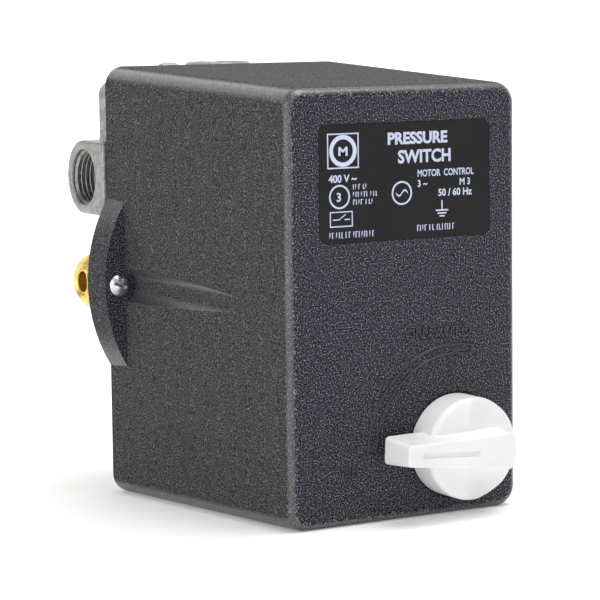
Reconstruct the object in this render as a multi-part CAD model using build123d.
from build123d import *
import math
import os

# A three-pole pressure switch that starts and stops a motor: a deep moulded hood over a die-cast
# flange with four pipe ports, a turning OFF/AUTO knob, an unloader valve and two cable glands.
# Millimetres. X runs to the right, Y from the hood's front face to the back, Z up. The sub-parts are
# drawn about the middle of the hood's front face, and place() moves them so that the row's origin is
# the middle of the tank port's mouth, under the flange.

# ---------------------------------------------------------------- driving dimensions
# Hood
HOOD_DEPTH = 126.0
HOOD_REAR_WIDTH = 103.9
HOOD_REAR_HEIGHT = 161.2
HOOD_DRAFT = 2.55  # degrees, on all four sides
HOOD_CORNER = 7.5
HOOD_FRONT_EDGE = 3.9
HOOD_WALL = 3.0
LUG_RADIUS_FRONT = 59.8
LUG_RADIUS_REAR = 60.8
LUG_FRONT = 113.0
SCREW_X = 54.2
CHANNEL_RADIUS = 6.9
CHANNEL_WALL = 2.6
HOOD_SCREW_HEAD = 3.9
HOOD_SCREW_SHANK = 2.1

# Label recess in the hood's front
LABEL_WIDTH = 69.0
LABEL_HEIGHT = 40.5
LABEL_X = 0.5
LABEL_Z = 42.5
LABEL_DEPTH = 0.4
LABEL_CORNER = 3.0
LABEL_GAP = 0.2

# Knob, its shaft and the cam on it
KNOB_X = 20.0
KNOB_Z = -50.6
KNOB_RADIUS = 18.0
KNOB_FRONT = -12.0
KNOB_BACK = 0.6
KNOB_EDGE = 2.0
WELL_RADIUS = 19.0
WELL_DEPTH = 1.2
BAR_FRONT = -20.0
BAR_TIP = -31.6
BAR_END = 11.0
BAR_END_BULGE = 1.6
BAR_TIP_HALF = 3.6
BAR_END_HALF = 6.3
BAR_ROOT_GROWTH = 1.2
BAR_TILT = 2.8  # degrees that the tip stands above level when the knob is off
BAR_ROOT = -4.4
INDICATOR_LENGTH = 23.4
INDICATOR_WIDTH = 2.2
INDICATOR_X = -14.3
INDICATOR_DEPTH = 0.8
SCOOP_RADIUS = 14.0
SCOOP_DEPTH = 3.0
SCOOP_X = 6.0
SCOOP_Z = 12.0
SHAFT_RADIUS = 5.95
SHAFT_JOURNAL = 4.0
SHAFT_FRONT = -8.8
SHAFT_SHOULDER = 84.0
SHAFT_END = 118.5
CAM_FRONT = 76.0
CAM_BACK = 84.0
CAM_HIGH = 16.0
CAM_DROP = 3.0
CAM_REST_SPAN = 15.0  # degrees held low after the fall
RING_FRONT = 3 * HOOD_WALL + 0.3
RING_THICKNESS = 1.1
RUNNING = 0.05  # radial clearance of a running fit

# Arc marking between the knob's two positions
ARC_RADII = (35.4, 32.2)
ARC_START = 78.0
ARC_END = 178.0
RIDGE_WIDTH = 0.5
RIDGE_HEIGHT = 0.35

# Pressure flange
GASKET = 0.5
FLANGE_FRONT = HOOD_DEPTH + GASKET
FLANGE_BACK = 133.5
FLANGE_HALF_WIDTH = 50.0
FLANGE_HALF_HEIGHT = 80.0
FLANGE_CORNER = 7.0
EAR_RADIUS = 57.2
EAR_HALF = 26.0
EAR_INSIDE = 45.0
EAR_FRONT = 118.0
EAR_GAP = 0.6
FLANGE_RIM_BACK = 130.3
FLANGE_MIDDLE_HALF = 46.0
RIB_INSIDE = 44.0
RIB_TOP = 69.0
RIB_BACK = 136.2
BOSSES = ((-44.0, 69.0), (44.0, 69.0), (-40.0, -69.0), (40.0, -69.0))
BOSS_RADIUS = 6.3
BOSS_BACK = 136.2
FLANGE_SCREW = 2.2
PORT_X = 6.0
PORT_Y = 145.0
PORT_TOP = 81.2
PORT_BOTTOM = -80.0
PORT_BODY_RADIUS = 14.0
PORT_BORE = 10.5
PORT_DEPTH = 16.0
PASSAGE = 6.0
PORT_EDGE = 2.2
SIDE_PORT_X = 53.0
SIDE_PORT_Z = 38.5
SIDE_PORT_FRONT = 127.3
RIB_BOTTOM = SIDE_PORT_Z + PORT_BODY_RADIUS
CHAMBER_RADIUS = 23.0
CHAMBER_DEPTH = 5.0
LOCATING_LUG_X = -22.3

# Diaphragm, piston and the moulded carrier behind the hood
DIAPHRAGM_RADIUS = 29.0
DIAPHRAGM_THICKNESS = 2.0
CARRIER_FRONT = 112.0
CARRIER_HALF_WIDTH = 47.6
CARRIER_HALF_HEIGHT = 76.2
PISTON_RADIUS = 21.0
PISTON_BORE = 21.3
STEM_RADIUS = 5.0
PISTON_STROKE = 1.8
PISTON_BACK = FLANGE_FRONT - DIAPHRAGM_THICKNESS - 0.15
PISTON_THICKNESS = 4.9
CARRIER_GUIDE_FRONT = CARRIER_FRONT - 5.0

# Rocker and its springs
PIVOT_X = -18.0
PIVOT_Y = 92.0
PIVOT_PIN = 2.0
ARM = 18.0  # from the pivot to the piston on one side and to the unloader pin on the other
ROCKER_HALF = 12.0
ROCKER_THICKNESS = 3.0
ROCKER_GAP = 0.4
LEG_INSIDE = 17.0
LEG_THICKNESS = 3.0
YOKE_FRONT = 34.0
YOKE_LEFT = -26.0
YOKE_RIGHT = 28.0
YOKE_SHEET = 3.0
YOKE_SCREWS = ((-16.0, 27.0), (18.0, 27.0), (-16.0, -27.0), (18.0, -27.0))
DIFFERENTIAL_X = 20.0
MAIN_SEAT = 51.0
DIFFERENTIAL_SEAT = 59.0
SEAT_THICKNESS = 3.0
ADJUSTER = 2.95
SMALL_SCREW = 2.0
ROCKER_BACK = PIVOT_Y + ROCKER_THICKNESS / 2
ROCKER_FRONT = PIVOT_Y - ROCKER_THICKNESS / 2

# Unloader valve
VALVE_X = PIVOT_X - ARM
VALVE_Z = -1.5
VALVE_RADIUS = 8.0
VALVE_BACK = 153.0
VALVE_NECK = 5.0
VALVE_PIN = 2.0
VALVE_HEAD_FRONT = 139.0
TUBE_RADIUS = 4.1
NUT_ACROSS_FLATS = 18.0
NUT_FRONT = -44.0
NUT_BACK = -54.2
NUT_NOSE = -55.0
NUT_NOSE_RADIUS = 6.3
NUT_BORE = 4.7

# Contacts
POLES = (-28.0, -4.0, 20.0)
CONTACT_ARM = 6.0  # from a pole's middle to its line and to its load terminal
BLOCK_LEFT = -42.0
BLOCK_RIGHT = 33.0
BLOCK_FRONT = 62.0
BLOCK_BOTTOM = 34.0
BLOCK_TOP = 62.0
STRIP_Z = 51.5
STRIP_THICKNESS = 1.2
STRIP_HALF = 3.0
CONTACT_TIP = 1.0
CONTACT_Y = 80.0
SLIDER_TRAVEL = 3.0
AIR_GAP = 0.3
TERMINAL_Z = 44.0
TERMINALS = tuple(pole + side * CONTACT_ARM for pole in POLES for side in (-1, 1))
BLOCK_SCREW_X = (-34.0, 25.0)
BLOCK_SCREW_Z = 68.0
ROD_X = 37.5
ROD_HALF = 2.5
ROD_DEPTH = 6.0
ROD_CLEARANCE = 0.2
ROD_GUIDE_END = ROD_X + 5.5
COLLAR_Z = 8.0
HEAD_BOTTOM = 66.0
BAR_THICKNESS = 4.0
BRIDGE_BOTTOM = STRIP_Z + STRIP_THICKNESS + 2 * CONTACT_TIP + AIR_GAP + SLIDER_TRAVEL
BRIDGE_THICKNESS = 1.2
STEM = 2.0

# Earth clamp
EARTH_X = -36.0
EARTH_Z = -60.0

# Cable entries
ENTRY_Y = 104.0
ENTRY_Z = 46.0
ENTRY_HALF = 16.0
ENTRY_ROUND_Y = 100.0
GLAND_THREAD = 10.0
GLAND_FLATS = 24.0
CABLE_RADIUS = 5.0
PLATE_INSIDE = 43.5
PLATE_STEP = 46.5
PLATE_OUTSIDE = 50.0
COLLAR_END = PLATE_OUTSIDE + 5.0
BARREL_END = 63.0
GLAND_END = 75.0
GLAND_LEVELS = (-ENTRY_Z, ENTRY_Z)


# ---------------------------------------------------------------- shapes that many sub-parts use
def along_y(radius, y0, y1, x=0.0, z=0.0):
    """A cylinder from y0 to y1 about the line through (x, z)."""
    return Pos(x, (y0 + y1) / 2, z) * Rot(90, 0, 0) * Cylinder(radius, abs(y1 - y0))


def along_x(radius, x0, x1, y, z):
    """A cylinder from x0 to x1 about the line through (y, z)."""
    return Pos((x0 + x1) / 2, y, z) * Rot(0, 90, 0) * Cylinder(radius, abs(x1 - x0))


def along_z(radius, z0, z1, x, y):
    """A cylinder from z0 to z1 about the line through (x, y)."""
    return Pos(x, y, (z0 + z1) / 2) * Cylinder(radius, abs(z1 - z0))


def block(x0, x1, y0, y1, z0, z1):
    """A box between two opposite corners."""
    return Pos((x0 + x1) / 2, (y0 + y1) / 2, (z0 + z1) / 2) * Box(x1 - x0, y1 - y0, z1 - z0)


def facing(y):
    """The upright plane at depth y, seen from the front: its x is X and its y is Z."""
    return Plane.XZ.offset(-y)


def slab(sketch, y0, y1):
    """A sketch drawn as seen from the front, given the thickness from y0 to y1."""
    return extrude(facing(y1) * sketch, amount=y1 - y0)


def hexagon_x(across_flats, x0, x1, y, z):
    """A hexagonal bar from x0 to x1, with a corner at the top."""
    outline = RegularPolygon(across_flats / 2, 6, major_radius=False, rotation=30)
    return extrude(Plane(origin=(x0, y, z), x_dir=(0, 1, 0), z_dir=(1, 0, 0)) * outline, amount=x1 - x0)


def hexagon_y(across_flats, y0, y1, x, z):
    """A hexagonal bar from y0 to y1."""
    outline = RegularPolygon(across_flats / 2, 6, major_radius=False, rotation=30)
    return slab(Pos(x, z) * outline, y0, y1)


def drafted(inset, y_front, y_rear):
    """The hood's tapering box, its walls moved in by inset, from y_front to y_rear."""
    shrink = math.tan(math.radians(HOOD_DRAFT)) * (HOOD_DEPTH - y_rear)
    width = HOOD_REAR_WIDTH - 2 * (inset + shrink)
    height = HOOD_REAR_HEIGHT - 2 * (inset + shrink)
    box = extrude(facing(y_rear) * Rectangle(width, height), amount=y_rear - y_front, taper=HOOD_DRAFT)
    long_edges = box.edges().filter_by(lambda edge: abs(edge.tangent_at(0.5).Y) > 0.5)
    return fillet(long_edges, HOOD_CORNER - inset)


def slotted_head(radius, y0, y1, x, z, slot_width=1.0, slot_depth=1.0):
    """A round screw head with its slot in the face at y0."""
    reach = radius + 1
    half = slot_width / 2
    slot = block(x - reach, x + reach, y0 - 1, y0 + slot_depth, z - half, z + half)
    return along_y(radius, y0, y1, x, z) - slot


# ---------------------------------------------------------------- hood and what is on it
def entry_outline(half_width, y_round, y_end):
    """The outline of a cable entry slot, seen from the side: open to the back, round at the front."""
    straight = Pos((y_round + y_end) / 2, 0) * Rectangle(y_end - y_round, 2 * half_width)
    return straight + Pos(y_round, 0) * Circle(half_width)


def entry_prism(half_width, y_end, x0, x1, z):
    """The entry outline as a solid from x0 to x1, at height z."""
    side = Plane(origin=(x0, 0, z), x_dir=(0, 1, 0), z_dir=(1, 0, 0))
    return extrude(side * entry_outline(half_width, ENTRY_ROUND_Y, y_end), amount=x1 - x0)


def marking_ridges():
    """The long closed outline moulded on the front, between the knob's OFF and AUTO positions."""
    outer, inner = ARC_RADII
    ring = Circle(outer + RIDGE_WIDTH / 2) - Circle(outer - RIDGE_WIDTH / 2)
    ring += Circle(inner + RIDGE_WIDTH / 2) - Circle(inner - RIDGE_WIDTH / 2)
    reach = 2 * outer
    start = (reach * math.cos(math.radians(ARC_START)), reach * math.sin(math.radians(ARC_START)))
    middle_angle = math.radians((ARC_START + ARC_END) / 2)
    middle = (2 * reach * math.cos(middle_angle), 2 * reach * math.sin(middle_angle))
    end = (reach * math.cos(math.radians(ARC_END)), reach * math.sin(math.radians(ARC_END)))
    ridges = ring & make_face(Polyline((0, 0), start, middle, end, close=True))
    for angle in (ARC_START, ARC_END):
        bridge = Pos((outer + inner) / 2, 0) * Rectangle(outer - inner + RIDGE_WIDTH, RIDGE_WIDTH)
        ridges += Rot(0, 0, angle) * bridge
    return slab(Pos(KNOB_X, KNOB_Z) * ridges, -RIDGE_HEIGHT, RIDGE_WIDTH)


def hood():
    shell = drafted(0, 0, HOOD_DEPTH)
    shell = fillet(shell.faces().sort_by(Axis.Y)[0].edges(), HOOD_FRONT_EDGE)
    lug = Cone(LUG_RADIUS_REAR, LUG_RADIUS_FRONT, HOOD_DEPTH - LUG_FRONT)
    shell += Pos(0, (LUG_FRONT + HOOD_DEPTH) / 2, 0) * Rot(90, 0, 0) * lug
    shell -= drafted(HOOD_WALL, HOOD_WALL, HOOD_DEPTH)
    inside = drafted(HOOD_WALL / 2, HOOD_WALL / 2, HOOD_DEPTH)
    for side in (-1, 1):
        lining = along_y(CHANNEL_RADIUS + CHANNEL_WALL, HOOD_WALL / 2, HOOD_DEPTH, side * SCREW_X)
        shell += lining & inside
        shell -= along_y(CHANNEL_RADIUS, HOOD_WALL, LUG_FRONT, side * SCREW_X)
        shell -= along_y(HOOD_SCREW_SHANK + 0.3, LUG_FRONT, HOOD_DEPTH, side * SCREW_X)
    shell -= screw_ears(EAR_GAP, LUG_FRONT + HOOD_WALL)
    shell += along_y(SHAFT_RADIUS + 4, HOOD_WALL / 2, 3 * HOOD_WALL, KNOB_X, KNOB_Z)
    shell -= along_y(WELL_RADIUS, -1, WELL_DEPTH, KNOB_X, KNOB_Z)
    shell += marking_ridges()
    shell -= along_y(SHAFT_RADIUS + RUNNING, -1, 4 * HOOD_WALL, KNOB_X, KNOB_Z)
    shell -= along_y(SHAFT_RADIUS + 2, -1, WELL_DEPTH + 2.1, KNOB_X, KNOB_Z)
    recess = Pos(LABEL_X, LABEL_Z) * RectangleRounded(LABEL_WIDTH, LABEL_HEIGHT, LABEL_CORNER)
    shell -= slab(recess, -1, LABEL_DEPTH)
    for z in (-ENTRY_Z, ENTRY_Z):
        shell -= entry_prism(ENTRY_HALF, HOOD_DEPTH + 1, HOOD_REAR_WIDTH / 2 - 9, SIDE_PORT_X + 3, z)
    return shell


def label_plate():
    width = LABEL_WIDTH - 2 * LABEL_GAP
    height = LABEL_HEIGHT - 2 * LABEL_GAP
    outline = Pos(LABEL_X, LABEL_Z) * RectangleRounded(width, height, LABEL_CORNER - LABEL_GAP)
    return slab(outline, LABEL_DEPTH / 4, LABEL_DEPTH)


def hood_gasket():
    outer = RectangleRounded(2 * FLANGE_HALF_WIDTH - 0.6, 2 * FLANGE_HALF_HEIGHT - 0.6, FLANGE_CORNER)
    inner_width = HOOD_REAR_WIDTH - 2 * HOOD_WALL
    inner_height = HOOD_REAR_HEIGHT - 2 * HOOD_WALL
    inner = RectangleRounded(inner_width, inner_height, HOOD_CORNER - HOOD_WALL)
    return slab(outer - inner, HOOD_DEPTH, FLANGE_FRONT) - screw_ears(EAR_GAP, EAR_FRONT)


def hood_screws():
    head_front = LUG_FRONT - 2.5
    screws = Part()
    for x in (-SCREW_X, SCREW_X):
        head = slotted_head(HOOD_SCREW_HEAD, head_front, LUG_FRONT, x, 0)
        head -= block(x - 0.5, x + 0.5, head_front - 1, head_front + 1.4, -2, 2)
        screws += head + along_y(HOOD_SCREW_SHANK, LUG_FRONT, FLANGE_FRONT, x, 0)
    return screws


# ---------------------------------------------------------------- knob, shaft and cam
def bar_section(y, growth):
    """The grip bar's outline at depth y, wider all round by growth: a blunt tip and a broad round end."""
    tip_half = BAR_TIP_HALF + growth
    end_half = BAR_END_HALF + growth
    sides = Polyline((BAR_END, -end_half), (BAR_TIP, -tip_half), (BAR_TIP, tip_half), (BAR_END, end_half))
    round_end = ThreePointArc((BAR_END, end_half), (BAR_END + BAR_END_BULGE, 0), (BAR_END, -end_half))
    outline = make_face(Wire(sides.edges() + round_end.edges()))
    return facing(y) * outline


def knob():
    body = along_y(KNOB_RADIUS, KNOB_FRONT, KNOB_BACK)
    body = fillet(body.faces().sort_by(Axis.Y)[0].edges(), KNOB_EDGE)
    # A scoop for the thumb above the bar and one for the finger below it
    for side in (-1, 1):
        body -= Pos(SCOOP_X, KNOB_FRONT - SCOOP_RADIUS + SCOOP_DEPTH, side * SCOOP_Z) * Sphere(SCOOP_RADIUS)
    bar = loft([bar_section(BAR_ROOT, BAR_ROOT_GROWTH), bar_section(BAR_FRONT, 0)], ruled=True)
    uprights = bar.edges().filter_by(lambda edge: abs(edge.tangent_at(0.5).Y) > 0.5)
    bar = fillet(uprights, 1.6)
    body += fillet(bar.faces().sort_by(Axis.Y)[0].edges(), 0.8)
    groove = SlotOverall(INDICATOR_LENGTH, INDICATOR_WIDTH)
    body -= slab(Pos(INDICATOR_X, 0) * groove, BAR_FRONT - 1, BAR_FRONT + INDICATOR_DEPTH)
    body -= along_y(SHAFT_RADIUS + RUNNING, SHAFT_FRONT, KNOB_BACK + 1)
    return Pos(KNOB_X, 0, KNOB_Z) * Rot(0, BAR_TILT, 0) * body


def knob_shaft():
    shaft = along_y(SHAFT_RADIUS, SHAFT_FRONT, SHAFT_SHOULDER)
    shaft += along_y(SHAFT_JOURNAL, SHAFT_SHOULDER, SHAFT_END)
    groove = along_y(SHAFT_RADIUS + 1, RING_FRONT - 0.05, RING_FRONT + RING_THICKNESS + 0.05)
    groove -= along_y(SHAFT_RADIUS - 1, RING_FRONT - 1, RING_FRONT + RING_THICKNESS + 1)
    return Pos(KNOB_X, 0, KNOB_Z) * (shaft - groove)


def shaft_ring():
    ring = Circle(SHAFT_RADIUS + 2) - Circle(SHAFT_RADIUS - 1)
    ring -= Pos(0, -SHAFT_RADIUS) * Rectangle(SHAFT_RADIUS, 2 * SHAFT_RADIUS)
    return slab(Pos(KNOB_X, KNOB_Z) * ring, RING_FRONT, RING_FRONT + RING_THICKNESS)


def shaft_seal():
    ring = Torus(SHAFT_RADIUS + 1.0, 0.97)
    return Pos(KNOB_X, WELL_DEPTH + 1.05, KNOB_Z) * Rot(90, 0, 0) * ring


def cam_radius(angle):
    """The cam's radius at an angle in degrees from straight up towards -X, falling over a quarter turn."""
    fall = min(max(angle / 90.0, 0.0), 1.0)
    return CAM_HIGH - CAM_DROP * fall


def cam_point(angle):
    radius = cam_radius(angle)
    return (-radius * math.sin(math.radians(angle)), radius * math.cos(math.radians(angle)))


def knob_cam():
    low_end = 90.0 + CAM_REST_SPAN
    spiral = Spline(*[cam_point(angle) for angle in range(0, 91, 10)])
    low = ThreePointArc(cam_point(90), cam_point(90 + CAM_REST_SPAN / 2), cam_point(low_end))
    far = 180.0
    far_point = (-CAM_HIGH * math.sin(math.radians(far)), CAM_HIGH * math.cos(math.radians(far)))
    ramp = Line(cam_point(low_end), far_point)
    high = ThreePointArc(far_point, (CAM_HIGH, 0), cam_point(0))
    outline = make_face(Wire([spiral.edge(), low.edge(), ramp.edge(), high.edge()]))
    outline -= Circle(SHAFT_RADIUS + RUNNING)
    return slab(Pos(KNOB_X, KNOB_Z) * outline, CAM_FRONT, CAM_BACK)


# ---------------------------------------------------------------- pressure flange and valve
def screw_ears(gap, y_front):
    """The casting's two round ears inside the hood's lugs, made larger by gap, from y_front to the plate."""
    reach = EAR_RADIUS + gap
    disc = along_y(reach, y_front, FLANGE_FRONT + gap)
    ears = Part()
    for x0, x1 in ((-reach, -EAR_INSIDE + gap), (EAR_INSIDE - gap, reach)):
        ears += disc & block(x0, x1, y_front, FLANGE_FRONT + gap, -EAR_HALF - gap, EAR_HALF + gap)
    return ears


def flange_plate():
    """The flange's upright plate with its side ribs, screw bosses and locating lug, before its holes."""
    outline = RectangleRounded(2 * FLANGE_HALF_WIDTH, 2 * FLANGE_HALF_HEIGHT, FLANGE_CORNER)
    plate = slab(outline, FLANGE_FRONT, FLANGE_RIM_BACK)
    middle = RectangleRounded(2 * FLANGE_MIDDLE_HALF, 2 * FLANGE_HALF_HEIGHT, FLANGE_CORNER)
    plate += slab(middle, FLANGE_RIM_BACK, FLANGE_BACK)
    for x0, x1 in ((-FLANGE_HALF_WIDTH, -RIB_INSIDE), (RIB_INSIDE, FLANGE_HALF_WIDTH)):
        plate += block(x0, x1, FLANGE_FRONT, RIB_BACK, RIB_BOTTOM, RIB_TOP)
    for x, z in BOSSES:
        plate += along_y(BOSS_RADIUS, FLANGE_FRONT, BOSS_BACK, x, z)
    lug = Polyline((-5.3, 0), (5.3, 0), (3.2, 2.8), (-3.2, 2.8), close=True)
    lug_outline = Pos(LOCATING_LUG_X, FLANGE_HALF_HEIGHT - 1.5) * make_face(lug)
    return plate + slab(lug_outline, FLANGE_BACK - 3.5, FLANGE_BACK)


def pressure_flange():
    """The plate's share of the die casting, with the chamber and every hole through it."""
    flange = flange_plate() + screw_ears(0, EAR_FRONT)
    flange -= along_y(CHAMBER_RADIUS, FLANGE_FRONT - 1, FLANGE_FRONT + CHAMBER_DEPTH)
    flange -= along_y(PASSAGE / 2, FLANGE_FRONT, PORT_Y, PORT_X, 0)
    flange -= along_y(VALVE_NECK + RUNNING, FLANGE_FRONT - 1, FLANGE_BACK + 1, VALVE_X, VALVE_Z)
    for x in (-SCREW_X, SCREW_X):
        flange -= along_y(HOOD_SCREW_SHANK + RUNNING, EAR_FRONT - 1, FLANGE_BACK + 1, x, 0)
    for x, z in BOSSES:
        flange -= along_y(FLANGE_SCREW + 0.3, FLANGE_FRONT - 1, BOSS_BACK + 1, x, z)
    return flange


def port_cross():
    """The casting's upright and cross channels behind the plate, with a port at each of their four ends."""
    upright = along_z(PORT_BODY_RADIUS, PORT_BOTTOM, PORT_TOP, PORT_X, PORT_Y)
    upright = chamfer(upright.edges().filter_by(GeomType.CIRCLE), PORT_EDGE)
    half = PORT_BODY_RADIUS - PORT_EDGE
    upright += block(
        PORT_X - half, PORT_X + half, FLANGE_BACK, PORT_Y, PORT_BOTTOM + PORT_EDGE, PORT_TOP - PORT_EDGE
    )
    cross = along_x(PORT_BODY_RADIUS, -SIDE_PORT_X, SIDE_PORT_X, PORT_Y, SIDE_PORT_Z)
    cross += block(
        -SIDE_PORT_X, SIDE_PORT_X, SIDE_PORT_FRONT, PORT_Y,
        SIDE_PORT_Z - PORT_BODY_RADIUS, SIDE_PORT_Z + PORT_BODY_RADIUS,
    )
    channels = upright + cross - flange_plate()
    channels -= along_z(PORT_BORE, PORT_BOTTOM - 1, PORT_BOTTOM + PORT_DEPTH, PORT_X, PORT_Y)
    channels -= along_z(PORT_BORE, PORT_TOP - PORT_DEPTH, PORT_TOP + 1, PORT_X, PORT_Y)
    channels -= along_z(PASSAGE, PORT_BOTTOM, PORT_TOP, PORT_X, PORT_Y)
    for side in (-1, 1):
        mouth = side * (SIDE_PORT_X + 1)
        bottom = side * (SIDE_PORT_X - PORT_DEPTH)
        channels -= along_x(PORT_BORE, min(mouth, bottom), max(mouth, bottom), PORT_Y, SIDE_PORT_Z)
    channels -= along_x(PASSAGE, -SIDE_PORT_X, SIDE_PORT_X, PORT_Y, SIDE_PORT_Z)
    return channels - along_y(PASSAGE / 2, FLANGE_FRONT, PORT_Y, PORT_X, 0)


def flange_screws():
    screws = Part()
    for x, z in BOSSES:
        head = along_y(4.0, BOSS_BACK, BOSS_BACK + 2.6, x, z)
        head -= block(x - 5, x + 5, BOSS_BACK + 1.6, BOSS_BACK + 3, z - 0.5, z + 0.5)
        screws += head + along_y(FLANGE_SCREW, CARRIER_FRONT + 6, BOSS_BACK, x, z)
    return screws


def diaphragm():
    back = FLANGE_FRONT
    return along_y(DIAPHRAGM_RADIUS, back - DIAPHRAGM_THICKNESS, back)


def piston():
    body = along_y(PISTON_RADIUS, PISTON_BACK - PISTON_THICKNESS, PISTON_BACK)
    body += along_y(STEM_RADIUS, ROCKER_BACK + ROCKER_GAP + 3, PISTON_BACK - PISTON_THICKNESS)
    body += along_y(2.0, ROCKER_BACK + ROCKER_GAP, PISTON_BACK - PISTON_THICKNESS)
    return body


def base_carrier():
    outline = RectangleRounded(2 * CARRIER_HALF_WIDTH, 2 * CARRIER_HALF_HEIGHT, HOOD_CORNER - HOOD_WALL)
    carrier = slab(outline, CARRIER_FRONT, FLANGE_FRONT)
    carrier += along_y(STEM_RADIUS + 4, CARRIER_GUIDE_FRONT, CARRIER_FRONT)
    carrier -= along_y(DIAPHRAGM_RADIUS + 0.1, PISTON_BACK + 0.15, FLANGE_FRONT + 1)
    piston_floor = PISTON_BACK - PISTON_THICKNESS - PISTON_STROKE - 0.4
    carrier -= along_y(PISTON_BORE, piston_floor, FLANGE_FRONT)
    carrier -= along_y(STEM_RADIUS + RUNNING, CARRIER_GUIDE_FRONT - 1, FLANGE_FRONT)
    carrier -= along_y(VALVE_NECK + RUNNING, CARRIER_FRONT - 1, FLANGE_FRONT + 1, VALVE_X, VALVE_Z)
    carrier -= along_y(SHAFT_JOURNAL + RUNNING, CARRIER_FRONT - 1, SHAFT_END + 1, KNOB_X, KNOB_Z)
    # Room for the hood's screw channels, the casting's ears and the cable entries
    channel = CHANNEL_RADIUS + CHANNEL_WALL + 0.5
    entry_left = PLATE_INSIDE - 6
    for side in (-1, 1):
        carrier -= along_y(channel, CARRIER_FRONT - 1, FLANGE_FRONT + 1, side * SCREW_X)
        z = side * ENTRY_Z
        carrier -= block(entry_left, PLATE_OUTSIDE, CARRIER_FRONT - 1, FLANGE_FRONT + 1, z - 20, z + 20)
    carrier -= screw_ears(EAR_GAP, CARRIER_FRONT - 1)
    for x, z in BOSSES:
        carrier -= along_y(FLANGE_SCREW + RUNNING, CARRIER_FRONT + 5, FLANGE_FRONT + 1, x, z)
    for x, z in YOKE_SCREWS:
        carrier -= along_y(SMALL_SCREW + RUNNING, CARRIER_FRONT - 1, CARRIER_FRONT + 7, x, z)
    for x in BLOCK_SCREW_X:
        carrier -= along_y(SMALL_SCREW + RUNNING, CARRIER_FRONT - 1, CARRIER_FRONT + 9, x, BLOCK_SCREW_Z)
    carrier -= along_y(SMALL_SCREW + RUNNING, CARRIER_FRONT - 1, CARRIER_FRONT + 11, EARTH_X, EARTH_Z)
    return carrier


def unloader_body():
    body = along_y(VALVE_RADIUS, FLANGE_BACK, VALVE_BACK, VALVE_X, VALVE_Z)
    body += along_y(VALVE_NECK, CARRIER_FRONT - 6, FLANGE_BACK, VALVE_X, VALVE_Z)
    body += along_x(6.4, NUT_FRONT - 6, VALVE_X, PORT_Y, VALVE_Z)
    body -= along_y(VALVE_PIN + RUNNING, CARRIER_FRONT - 7, FLANGE_BACK + 3, VALVE_X, VALVE_Z)
    body -= along_y(5.0, FLANGE_BACK + 2, VALVE_BACK + 1, VALVE_X, VALVE_Z)
    body -= along_x(3.0, NUT_FRONT - 7, VALVE_X, PORT_Y, VALVE_Z)
    body -= along_x(TUBE_RADIUS, NUT_FRONT - 7, NUT_FRONT - 1, PORT_Y, VALVE_Z)
    return body


def unloader_cap():
    cap = hexagon_y(14.0, VALVE_BACK, VALVE_BACK + 3.5, VALVE_X, VALVE_Z)
    return cap + along_y(4.95, VALVE_BACK - 2, VALVE_BACK, VALVE_X, VALVE_Z)


def unloader_lock_nut():
    nut = hexagon_y(16.0, CARRIER_FRONT - 4.5, CARRIER_FRONT, VALVE_X, VALVE_Z)
    return nut - along_y(VALVE_NECK + RUNNING, CARRIER_FRONT - 6, CARRIER_FRONT + 1, VALVE_X, VALVE_Z)


def compression_nut():
    nut = hexagon_x(NUT_ACROSS_FLATS, NUT_BACK, NUT_FRONT, PORT_Y, VALVE_Z)
    # Its corners are turned off at 45 degrees towards the nose
    cone = Cone(17.9, 6.9, 11.0, align=(Align.CENTER, Align.CENTER, Align.MIN))
    nut &= Pos(NUT_BACK + 10.4, PORT_Y, VALVE_Z) * Rot(0, -90, 0) * cone
    nut += along_x(NUT_NOSE_RADIUS, NUT_NOSE, NUT_BACK, PORT_Y, VALVE_Z)
    nut -= along_x(6.45, NUT_FRONT - 6.2, NUT_FRONT + 1, PORT_Y, VALVE_Z)
    nut -= along_x(NUT_BORE, NUT_NOSE - 1, NUT_FRONT, PORT_Y, VALVE_Z)
    mouth = Cone(NUT_BORE, NUT_BORE + 1.1, 1.1, align=(Align.CENTER, Align.CENTER, Align.MIN))
    return nut - Pos(NUT_NOSE + 1.1, PORT_Y, VALVE_Z) * Rot(0, -90, 0) * mouth


def ferrule():
    ring = along_x(NUT_BORE - RUNNING, NUT_FRONT - 10, NUT_FRONT - 6, PORT_Y, VALVE_Z)
    return ring - along_x(TUBE_RADIUS, NUT_FRONT - 11, NUT_FRONT - 5, PORT_Y, VALVE_Z)


def valve_pin():
    pin = along_y(VALVE_PIN, ROCKER_BACK + ROCKER_GAP, VALVE_HEAD_FRONT, VALVE_X, VALVE_Z)
    return pin + along_y(4.4, VALVE_HEAD_FRONT, VALVE_HEAD_FRONT + 2, VALVE_X, VALVE_Z)


# ---------------------------------------------------------------- rocker, yoke and springs
def rocker():
    left = VALVE_X - 6
    plate = block(left, DIFFERENTIAL_X + 7, ROCKER_FRONT, ROCKER_BACK, -ROCKER_HALF, ROCKER_HALF)
    plate += along_z(4.0, -ROCKER_HALF, ROCKER_HALF, PIVOT_X, PIVOT_Y)
    return plate - along_z(PIVOT_PIN + RUNNING, -ROCKER_HALF - 1, ROCKER_HALF + 1, PIVOT_X, PIVOT_Y)


def rocker_pin():
    reach = LEG_INSIDE + LEG_THICKNESS + 1
    return along_z(PIVOT_PIN, -reach, reach, PIVOT_X, PIVOT_Y)


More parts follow.
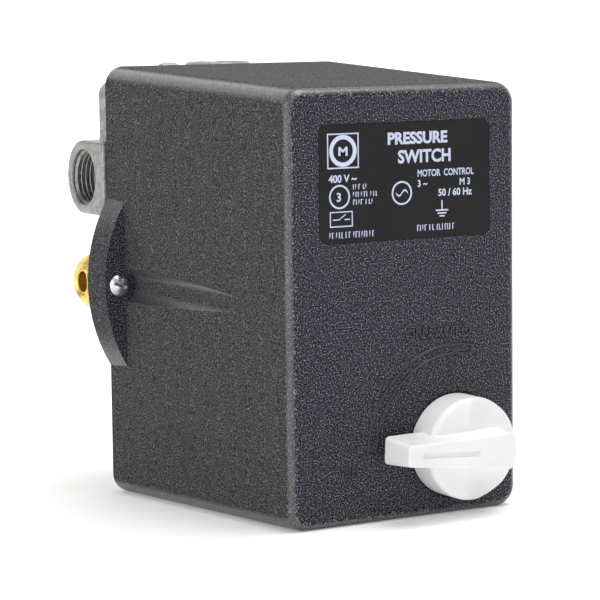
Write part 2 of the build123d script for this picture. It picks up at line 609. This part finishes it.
def yoke():
    outside = LEG_INSIDE + LEG_THICKNESS
    frame = block(YOKE_LEFT, YOKE_RIGHT, YOKE_FRONT, CARRIER_FRONT, -outside, outside)
    inside_front = YOKE_FRONT + YOKE_SHEET
    frame -= block(YOKE_LEFT - 1, YOKE_RIGHT + 1, inside_front, CARRIER_FRONT + 1, -LEG_INSIDE, LEG_INSIDE)
    for z in (-outside - 6.5, outside + 6.5):
        frame += block(YOKE_LEFT, YOKE_RIGHT, CARRIER_FRONT - YOKE_SHEET, CARRIER_FRONT, z - 7.5, z + 7.5)
    # An ear on the lower leg holds the slider's spring
    frame += block(YOKE_RIGHT, ROD_GUIDE_END, CONTACT_Y - 6, CONTACT_Y + 6, -outside, -LEG_INSIDE)
    frame -= rod_hole(-outside - 1, -LEG_INSIDE + 1)
    frame -= along_z(PIVOT_PIN, -outside - 1, outside + 1, PIVOT_X, PIVOT_Y)
    for x in (0, DIFFERENTIAL_X):
        frame -= along_y(ADJUSTER + RUNNING, YOKE_FRONT - 1, YOKE_FRONT + 4, x, 0)
    for x, z in YOKE_SCREWS:
        frame -= along_y(SMALL_SCREW + RUNNING, CARRIER_FRONT - 4, CARRIER_FRONT + 1, x, z)
    return frame


def yoke_screws():
    screws = Part()
    for x, z in YOKE_SCREWS:
        screws += slotted_head(3.5, CARRIER_FRONT - 5.4, CARRIER_FRONT - 3, x, z)
        screws += along_y(SMALL_SCREW, CARRIER_FRONT - 3, CARRIER_FRONT + 6.5, x, z)
    return screws


def spring_tube(outer, inner, y0, y1, x=0.0, z=0.0):
    """The plain tube that stands for a coil spring along Y."""
    return along_y(outer, y0, y1, x, z) - along_y(inner, y0 - 1, y1 + 1, x, z)


def main_spring():
    return spring_tube(11.0, 8.0, MAIN_SEAT + SEAT_THICKNESS, ROCKER_FRONT)


def main_spring_seat():
    back = MAIN_SEAT + SEAT_THICKNESS
    guide = LEG_INSIDE - 0.3
    seat = along_y(11.5, MAIN_SEAT, back) + along_y(7.8, back, back + 3)
    seat += block(-4, 4, MAIN_SEAT, back, -guide, guide)
    return seat - along_y(ADJUSTER + RUNNING, MAIN_SEAT - 1, MAIN_SEAT + 2)


def main_adjusting_screw():
    return slotted_head(5.5, 23.0, 27.5, 0, 0, 1.4, 2.2) + along_y(ADJUSTER, 27.5, MAIN_SEAT + 2)


def differential_spring():
    return spring_tube(6.0, 4.2, DIFFERENTIAL_SEAT + SEAT_THICKNESS, ROCKER_FRONT, DIFFERENTIAL_X)


def differential_spring_seat():
    x = DIFFERENTIAL_X
    back = DIFFERENTIAL_SEAT + SEAT_THICKNESS
    guide = LEG_INSIDE - 0.3
    seat = along_y(6.6, DIFFERENTIAL_SEAT, back, x) + along_y(4.0, back, back + 3, x)
    seat += block(x - 2, x + 2, DIFFERENTIAL_SEAT, back, -guide, guide)
    return seat - along_y(ADJUSTER + RUNNING, DIFFERENTIAL_SEAT - 1, DIFFERENTIAL_SEAT + 2, x)


def differential_screw():
    x = DIFFERENTIAL_X
    screw = slotted_head(4.5, 24.0, 27.5, x, 0, 1.2, 1.8)
    return screw + along_y(ADJUSTER, 27.5, DIFFERENTIAL_SEAT + 2, x)


def valve_spring():
    return spring_tube(4.2, 3.0, VALVE_HEAD_FRONT + 2, VALVE_BACK - 2, VALVE_X, VALVE_Z)


# ---------------------------------------------------------------- contacts
def rod_hole(z0, z1):
    """Room for the contact slider's rod, from z0 to z1."""
    x_half = ROD_HALF + ROD_CLEARANCE
    y_half = ROD_DEPTH / 2 + ROD_CLEARANCE
    return block(ROD_X - x_half, ROD_X + x_half, CONTACT_Y - y_half, CONTACT_Y + y_half, z0, z1)


def contact_block():
    front = BLOCK_FRONT + STRIP_THICKNESS
    body = block(BLOCK_LEFT, BLOCK_RIGHT, front, CARRIER_FRONT, BLOCK_BOTTOM, BLOCK_TOP)
    body += block(BLOCK_LEFT, BLOCK_RIGHT, CARRIER_FRONT - 4, CARRIER_FRONT, BLOCK_TOP, BLOCK_SCREW_Z + 6)
    body += block(BLOCK_RIGHT, ROD_GUIDE_END, CONTACT_Y - 7, CONTACT_Y + 7, BLOCK_BOTTOM, BLOCK_BOTTOM + 10)
    body -= rod_hole(BLOCK_BOTTOM - 1, BLOCK_BOTTOM + 11)
    for pole in POLES:
        body -= block(pole - 10.4, pole + 10.4, CONTACT_Y - 8, CONTACT_Y + 8, STRIP_Z, BLOCK_TOP + 1)
        body -= along_z(3.0, STRIP_Z - 5, STRIP_Z + 1, pole, CONTACT_Y)
    for x in TERMINALS:
        body -= block(x - 4.1, x + 4.1, BLOCK_FRONT, CONTACT_Y, STRIP_Z, BLOCK_TOP + 1)
        body -= along_y(SMALL_SCREW + RUNNING, BLOCK_FRONT, BLOCK_FRONT + 12, x, TERMINAL_Z)
    for x in BLOCK_SCREW_X:
        body -= along_y(SMALL_SCREW + RUNNING, CARRIER_FRONT - 5, CARRIER_FRONT + 1, x, BLOCK_SCREW_Z)
    return body


def block_screws():
    screws = Part()
    for x in BLOCK_SCREW_X:
        screws += slotted_head(3.5, CARRIER_FRONT - 6.4, CARRIER_FRONT - 4, x, BLOCK_SCREW_Z)
        screws += along_y(SMALL_SCREW, CARRIER_FRONT - 4, CARRIER_FRONT + 8, x, BLOCK_SCREW_Z)
    return screws


def fixed_contacts():
    strips = Part()
    strip_top = STRIP_Z + STRIP_THICKNESS
    for x in TERMINALS:
        left, right = x - STRIP_HALF, x + STRIP_HALF
        strip = block(left, right, BLOCK_FRONT, CONTACT_Y + 4, STRIP_Z, strip_top)
        strip += block(left, right, BLOCK_FRONT, BLOCK_FRONT + STRIP_THICKNESS, TERMINAL_Z - 6, strip_top)
        strip -= along_y(SMALL_SCREW + RUNNING, BLOCK_FRONT - 1, BLOCK_FRONT + 2, x, TERMINAL_Z)
        strips += strip + along_z(2.5, strip_top, strip_top + CONTACT_TIP, x, CONTACT_Y)
    return strips


def terminal_clamps():
    clamps = Part()
    for x in TERMINALS:
        clamp = block(x - 4, x + 4, BLOCK_FRONT - 1.5, BLOCK_FRONT, TERMINAL_Z - 4, TERMINAL_Z + 4)
        clamps += clamp - along_y(SMALL_SCREW + RUNNING, BLOCK_FRONT - 2, BLOCK_FRONT + 1, x, TERMINAL_Z)
    return clamps


def terminal_screws():
    screws = Part()
    head_back = BLOCK_FRONT - 1.5
    for x in TERMINALS:
        screws += slotted_head(3.4, head_back - 2.4, head_back, x, TERMINAL_Z)
        screws += along_y(SMALL_SCREW, head_back, BLOCK_FRONT + 10, x, TERMINAL_Z)
    return screws


def contact_slider():
    """A foot on the cam, an arm, an upright rod with a spring collar, and a head that holds the bridges."""
    front, back = CONTACT_Y - ROD_DEPTH / 2, CONTACT_Y + ROD_DEPTH / 2
    foot_left, foot_bottom = KNOB_X - 1.5, KNOB_Z + CAM_HIGH + AIR_GAP
    arm_top = foot_bottom + 2 * BAR_THICKNESS
    arm_bottom = arm_top - BAR_THICKNESS
    rod_left, rod_right = ROD_X - ROD_HALF, ROD_X + ROD_HALF
    head_top = HEAD_BOTTOM + BAR_THICKNESS
    slider = block(foot_left, KNOB_X + 1.5, front, back, foot_bottom, arm_top)
    slider += block(foot_left, rod_right, front, back, arm_bottom, arm_top)
    slider += block(rod_left, rod_right, front, back, arm_bottom, head_top)
    slider += block(ROD_X - 5, ROD_X + 5, CONTACT_Y - 5, CONTACT_Y + 5, COLLAR_Z, COLLAR_Z + 2)
    slider += block(POLES[0] - 4, rod_right, CONTACT_Y - 4, CONTACT_Y + 4, HEAD_BOTTOM, head_top)
    for pole in POLES:
        slider += along_z(STEM, BRIDGE_BOTTOM - 2.4, HEAD_BOTTOM, pole, CONTACT_Y)
        slider += along_z(STEM + 0.6, BRIDGE_BOTTOM - 2.4, BRIDGE_BOTTOM, pole, CONTACT_Y)
    return slider


def contact_bridges():
    bridges = Part()
    for pole in POLES:
        top = BRIDGE_BOTTOM + BRIDGE_THICKNESS
        bridge = block(pole - 9, pole + 9, CONTACT_Y - 3.5, CONTACT_Y + 3.5, BRIDGE_BOTTOM, top)
        for side in (-1, 1):
            x = pole + side * CONTACT_ARM
            bridge += along_z(2.5, BRIDGE_BOTTOM - CONTACT_TIP, BRIDGE_BOTTOM, x, CONTACT_Y)
        bridges += bridge - along_z(STEM + RUNNING, BRIDGE_BOTTOM - 1, top + 1, pole, CONTACT_Y)
    return bridges


def contact_springs():
    springs = Part()
    bottom = BRIDGE_BOTTOM + BRIDGE_THICKNESS
    for pole in POLES:
        spring = along_z(3.5, bottom, HEAD_BOTTOM, pole, CONTACT_Y)
        springs += spring - along_z(2.5, bottom - 1, HEAD_BOTTOM + 1, pole, CONTACT_Y)
    return springs


def slider_spring():
    """The spring hooked between the yoke's ear and the slider's collar, which pulls the slider down."""
    tube = along_z(5.2, -LEG_INSIDE, COLLAR_Z, ROD_X, CONTACT_Y)
    return tube - along_z(4.2, -LEG_INSIDE - 1, COLLAR_Z + 1, ROD_X, CONTACT_Y)


def earth_clamp():
    plate = block(EARTH_X - 5, EARTH_X + 5, CARRIER_FRONT - 1.2, CARRIER_FRONT, EARTH_Z - 5, EARTH_Z + 5)
    return plate - along_y(SMALL_SCREW + RUNNING, CARRIER_FRONT - 2, CARRIER_FRONT + 1, EARTH_X, EARTH_Z)


def earth_screw():
    head_back = CARRIER_FRONT - 1.2
    screw = slotted_head(3.6, head_back - 2.6, head_back, EARTH_X, EARTH_Z)
    return screw + along_y(SMALL_SCREW, head_back, CARRIER_FRONT + 10, EARTH_X, EARTH_Z)


# ---------------------------------------------------------------- cable entries
def entry_plates():
    plates = Part()
    for z in GLAND_LEVELS:
        plate = entry_prism(ENTRY_HALF - 0.2, HOOD_DEPTH - 0.2, PLATE_STEP, PLATE_OUTSIDE, z)
        plate += entry_prism(ENTRY_HALF + 3, HOOD_DEPTH - 0.2, PLATE_INSIDE, PLATE_STEP, z)
        plates += plate - along_x(GLAND_THREAD + RUNNING, PLATE_INSIDE - 1, PLATE_OUTSIDE + 1, ENTRY_Y, z)
    return plates


def gland_bodies():
    bodies = Part()
    for z in GLAND_LEVELS:
        body = along_x(GLAND_THREAD, PLATE_INSIDE - 5.5, BARREL_END, ENTRY_Y, z)
        body += hexagon_x(GLAND_FLATS, PLATE_OUTSIDE, COLLAR_END, ENTRY_Y, z)
        body -= along_x(6.5, PLATE_INSIDE - 7, BARREL_END, ENTRY_Y, z)
        bodies += body - along_x(8.5, COLLAR_END + 2, BARREL_END + 1, ENTRY_Y, z)
    return bodies


def gland_nuts():
    nuts = Part()
    for z in GLAND_LEVELS:
        nut = hexagon_x(GLAND_FLATS, COLLAR_END + 1, GLAND_END - 5, ENTRY_Y, z)
        dome = Cone(11.5, 8.0, 5, align=(Align.CENTER, Align.CENTER, Align.MIN))
        nut += Pos(GLAND_END - 5, ENTRY_Y, z) * Rot(0, 90, 0) * dome
        nut -= along_x(GLAND_THREAD + RUNNING, COLLAR_END, BARREL_END + 0.5, ENTRY_Y, z)
        nut -= along_x(8.6, COLLAR_END, GLAND_END - 6, ENTRY_Y, z)
        nuts += nut - along_x(6.2, COLLAR_END, GLAND_END + 1, ENTRY_Y, z)
    return nuts


def gland_seals():
    seals = Part()
    for z in GLAND_LEVELS:
        seal = along_x(8.45, COLLAR_END + 2, GLAND_END - 6, ENTRY_Y, z)
        seals += seal - along_x(CABLE_RADIUS, COLLAR_END + 1, GLAND_END - 5, ENTRY_Y, z)
    return seals


def gland_lock_nuts():
    nuts = Part()
    for z in GLAND_LEVELS:
        nut = hexagon_x(GLAND_FLATS + 1, PLATE_INSIDE - 4, PLATE_INSIDE, ENTRY_Y, z)
        nuts += nut - along_x(GLAND_THREAD + RUNNING, PLATE_INSIDE - 5, PLATE_INSIDE + 1, ENTRY_Y, z)
    return nuts


# ---------------------------------------------------------------- writing the nodes
SUB_PARTS = (
    hood, label_plate, hood_gasket, hood_screws,
    knob, knob_shaft, shaft_ring, shaft_seal, knob_cam,
    pressure_flange, port_cross, flange_screws, diaphragm, piston, base_carrier,
    unloader_body, unloader_cap, unloader_lock_nut, compression_nut, ferrule, valve_pin, valve_spring,
    rocker, rocker_pin, yoke, yoke_screws,
    main_spring, main_spring_seat, main_adjusting_screw,
    differential_spring, differential_spring_seat, differential_screw,
    contact_block, block_screws, fixed_contacts, terminal_clamps, terminal_screws,
    contact_slider, contact_bridges, contact_springs, slider_spring, earth_clamp, earth_screw,
    entry_plates, gland_bodies, gland_nuts, gland_seals, gland_lock_nuts,
)


def place(shape):
    """From the hood's front face to the row's frame, whose origin is the tank port's mouth."""
    return Pos(-PORT_X, -PORT_Y, -PORT_BOTTOM) * shape


os.makedirs("parts", exist_ok=True)
for sub_part in SUB_PARTS:
    export_step(place(sub_part()), "parts/" + sub_part.__name__ + ".step")
